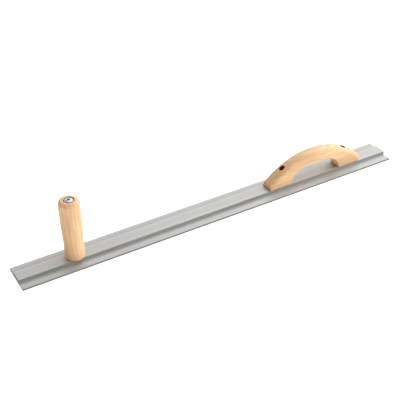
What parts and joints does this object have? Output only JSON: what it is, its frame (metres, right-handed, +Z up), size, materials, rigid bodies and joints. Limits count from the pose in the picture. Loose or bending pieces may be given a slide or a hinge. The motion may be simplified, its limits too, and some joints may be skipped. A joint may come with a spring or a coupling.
{
  "type": "concrete darby",
  "caption": "Long straight light-alloy concrete darby blade with a central stiffening rib, carrying an arched wooden loop handle and an upright turned wooden knob handle.",
  "frame": {"origin": "middle of the blade's flat working face, which is what the tool rests on", "axes": "+X runs along the blade towards the loop handle, +Y runs across the blade, +Z points up out of the working face towards the handles"},
  "size_m": [0.9144, 0.0762, 0.1546],
  "materials": {
    "light_alloy": "satin mill finish of an extruded magnesium or aluminium alloy, with fine drawn lines along its length",
    "pale_hardwood": "pale straight-grained hardwood, sanded smooth, with a thin clear finish",
    "zinc_plated_steel": "bright zinc plate over steel"
  },
  "bodies": {
    "root": {"blade": "light_alloy", "loop_handle": "pale_hardwood", "knob_handle": "pale_hardwood", "knob_bolt": "zinc_plated_steel", "knob_washer": "zinc_plated_steel", "loop_screw_left": "zinc_plated_steel", "loop_screw_right": "zinc_plated_steel", "loop_washer_left": "zinc_plated_steel", "loop_washer_right": "zinc_plated_steel"}
  },
  "joints": []
}
